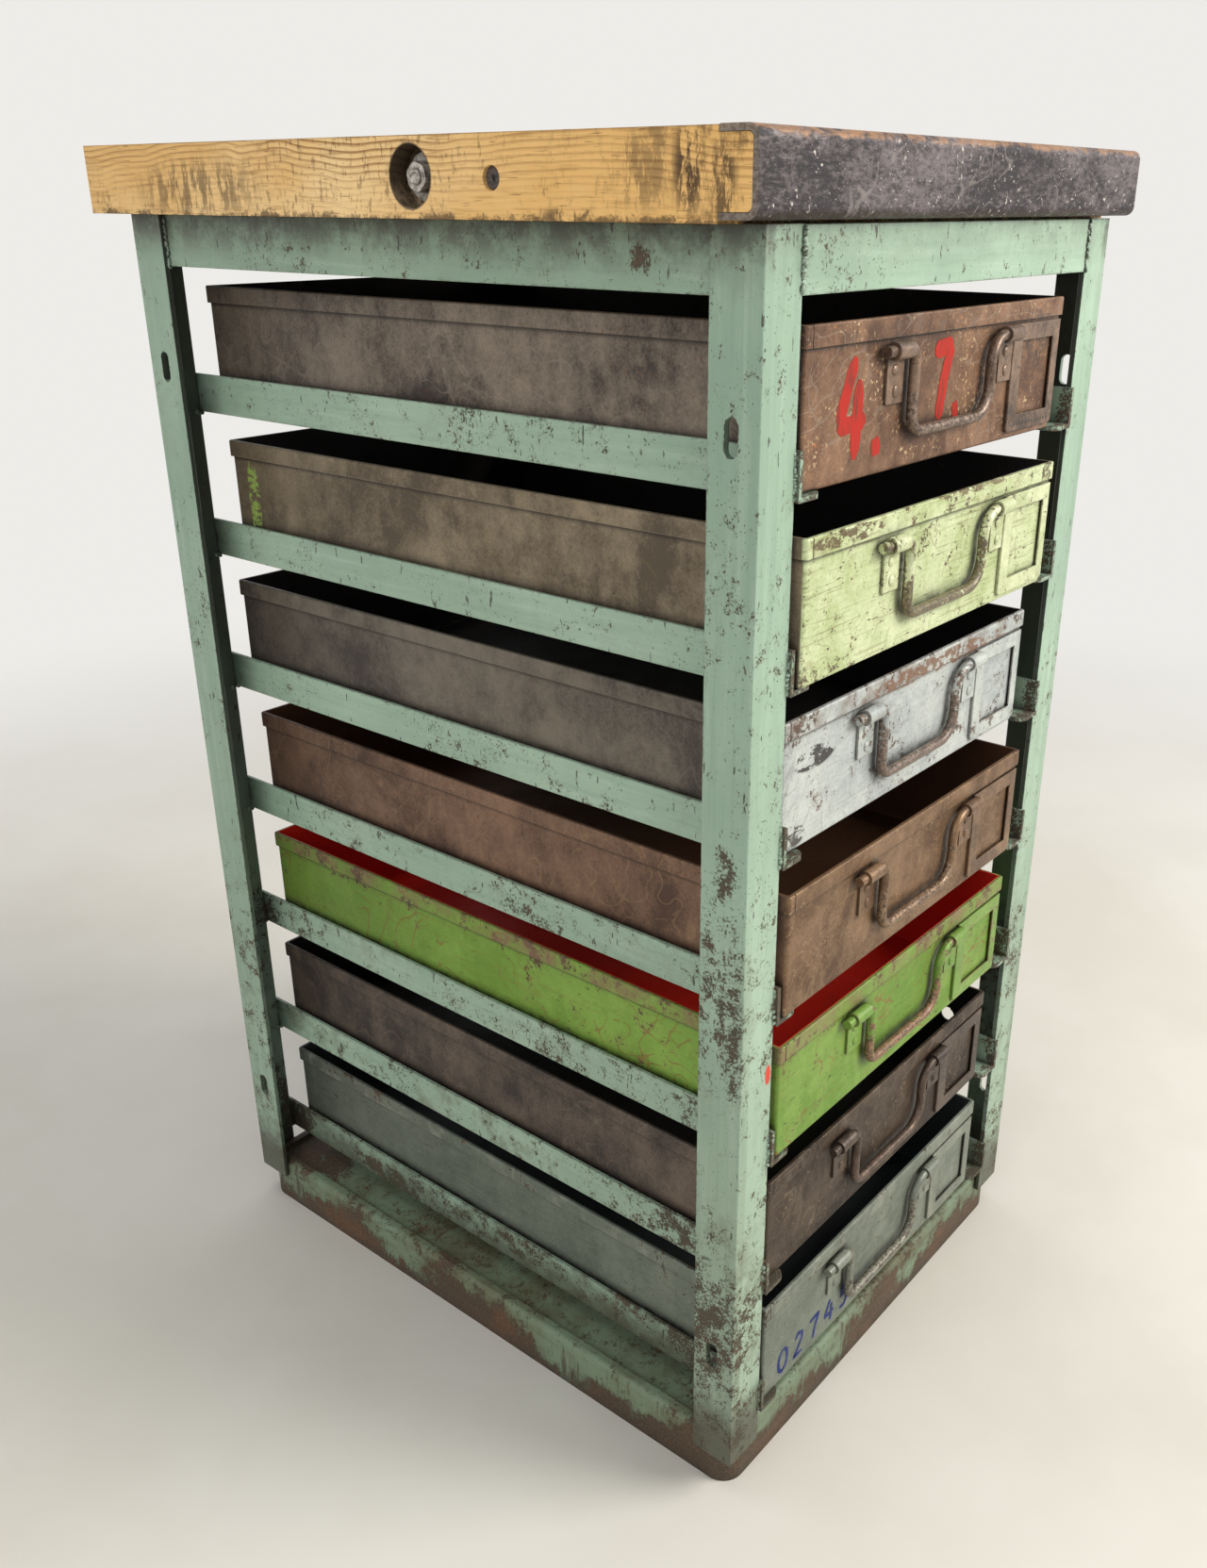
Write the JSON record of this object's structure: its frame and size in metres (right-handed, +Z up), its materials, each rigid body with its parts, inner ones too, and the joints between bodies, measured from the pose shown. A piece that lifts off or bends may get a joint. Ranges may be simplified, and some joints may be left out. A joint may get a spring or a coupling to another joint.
{
  "type": "metal chest of drawers",
  "caption": "Open welded angle-steel rack with a steel-edged wooden top, holding a stack of loose sheet-steel drawers with wire drop handles and label frames.",
  "frame": {"origin": "on the floor, under the middle of the whole outline, from the foremost handle knuckle to the rear edge of the wooden top", "axes": "+Z up, drawer fronts face -Y, +X to the right when looking at the fronts"},
  "size_m": [0.542, 0.68, 1.059],
  "materials": {
    "frame_paint": "worn satin mint-green paint with chips and rust spots",
    "base_paint": "thin green paint mostly worn through to brown rust",
    "edge_steel": "aged purple-brown steel with a vertical grain",
    "wood": "old oiled plank with a dark lower edge",
    "hardware": "dark oxidised fasteners",
    "plug": "black filler",
    "drawer_1": "bare brown steel with rust specks",
    "drawer_2": "chipped pale lime paint",
    "drawer_3": "chipped light grey paint",
    "drawer_4": "bare copper-brown steel",
    "drawer_5": "chipped vivid green paint, red inside",
    "drawer_6": "bare dark brown steel",
    "drawer_7": "worn grey-green paint",
    "handle_1": "round wire, worn bright on the grip",
    "handle_2": "round wire, worn bright on the grip",
    "handle_3": "round wire, worn bright on the grip",
    "handle_4": "round wire, worn bright on the grip",
    "handle_5": "round wire, worn bright on the grip",
    "handle_6": "round wire, worn bright on the grip",
    "handle_7": "round wire, worn bright on the grip"
  },
  "bodies": {
    "rack": {"post_front_left": "frame_paint", "post_front_right": "frame_paint", "post_rear_left": "frame_paint", "post_rear_right": "frame_paint", "top_rail_front": "frame_paint", "top_rail_rear": "frame_paint", "top_rail_left": "frame_paint", "top_rail_right": "frame_paint", "base_rail_front": "base_paint", "base_rail_rear": "base_paint", "base_rail_left": "base_paint", "base_rail_right": "base_paint", "base_plate": "base_paint", "runners_1": "frame_paint", "runners_2": "frame_paint", "runners_3": "frame_paint", "runners_4": "frame_paint", "runners_5": "frame_paint", "runners_6": "frame_paint", "runners_7": "frame_paint", "wood_top": "wood", "steel_edge": "edge_steel", "tie_rod": "hardware", "tie_washers": "hardware", "tie_nuts": "hardware", "hole_plug": "plug"},
    "drawer_1": {"drawer_1_box": "drawer_1", "drawer_1_label": "drawer_1", "drawer_1_straps": "drawer_1"},
    "bail_1": {"drawer_1_bail": "handle_1"},
    "drawer_2": {"drawer_2_box": "drawer_2", "drawer_2_label": "drawer_2", "drawer_2_straps": "drawer_2"},
    "bail_2": {"drawer_2_bail": "handle_2"},
    "drawer_3": {"drawer_3_box": "drawer_3", "drawer_3_label": "drawer_3", "drawer_3_straps": "drawer_3"},
    "bail_3": {"drawer_3_bail": "handle_3"},
    "drawer_4": {"drawer_4_box": "drawer_4", "drawer_4_label": "drawer_4", "drawer_4_straps": "drawer_4"},
    "bail_4": {"drawer_4_bail": "handle_4"},
    "drawer_5": {"drawer_5_box": "drawer_5", "drawer_5_label": "drawer_5", "drawer_5_straps": "drawer_5"},
    "bail_5": {"drawer_5_bail": "handle_5"},
    "drawer_6": {"drawer_6_box": "drawer_6", "drawer_6_label": "drawer_6", "drawer_6_straps": "drawer_6"},
    "bail_6": {"drawer_6_bail": "handle_6"},
    "drawer_7": {"drawer_7_box": "drawer_7", "drawer_7_label": "drawer_7", "drawer_7_straps": "drawer_7"},
    "bail_7": {"drawer_7_bail": "handle_7"}
  },
  "joints": [
    {"name": "drawer_1_slide", "type": "slide", "parent": "rack", "child": "drawer_1", "axis": [0, -1, 0], "range_m": [-0.005, 0.42]},
    {"name": "bail_1_hinge", "type": "hinge", "parent": "drawer_1", "child": "bail_1", "pos_m": [-0.015, -0.327, 0.929], "axis": [-1, 0, 0], "range_deg": [0, 150]},
    {"name": "drawer_2_slide", "type": "slide", "parent": "rack", "child": "drawer_2", "axis": [0, -1, 0], "range_m": [-0.012, 0.42]},
    {"name": "bail_2_hinge", "type": "hinge", "parent": "drawer_2", "child": "bail_2", "pos_m": [-0.015, -0.334, 0.7992], "axis": [-1, 0, 0], "range_deg": [0, 150]},
    {"name": "drawer_3_slide", "type": "slide", "parent": "rack", "child": "drawer_3", "axis": [0, -1, 0], "range_m": [-0.0005, 0.42]},
    {"name": "bail_3_hinge", "type": "hinge", "parent": "drawer_3", "child": "bail_3", "pos_m": [-0.015, -0.3225, 0.6694], "axis": [-1, 0, 0], "range_deg": [0, 150]},
    {"name": "drawer_4_slide", "type": "slide", "parent": "rack", "child": "drawer_4", "axis": [0, -1, 0], "range_m": [-0.0105, 0.42]},
    {"name": "bail_4_hinge", "type": "hinge", "parent": "drawer_4", "child": "bail_4", "pos_m": [-0.015, -0.3325, 0.5396], "axis": [-1, 0, 0], "range_deg": [0, 150]},
    {"name": "drawer_5_slide", "type": "slide", "parent": "rack", "child": "drawer_5", "axis": [0, -1, 0], "range_m": [-0.008, 0.42]},
    {"name": "bail_5_hinge", "type": "hinge", "parent": "drawer_5", "child": "bail_5", "pos_m": [-0.015, -0.33, 0.4098], "axis": [-1, 0, 0], "range_deg": [0, 150]},
    {"name": "drawer_6_slide", "type": "slide", "parent": "rack", "child": "drawer_6", "axis": [0, -1, 0], "range_m": [-0.0025, 0.42]},
    {"name": "bail_6_hinge", "type": "hinge", "parent": "drawer_6", "child": "bail_6", "pos_m": [-0.015, -0.3245, 0.28], "axis": [-1, 0, 0], "range_deg": [0, 150]},
    {"name": "drawer_7_slide", "type": "slide", "parent": "rack", "child": "drawer_7", "axis": [0, -1, 0], "range_m": [-0.0045, 0.42]},
    {"name": "bail_7_hinge", "type": "hinge", "parent": "drawer_7", "child": "bail_7", "pos_m": [-0.015, -0.3265, 0.1502], "axis": [-1, 0, 0], "range_deg": [0, 150]}
  ]
}
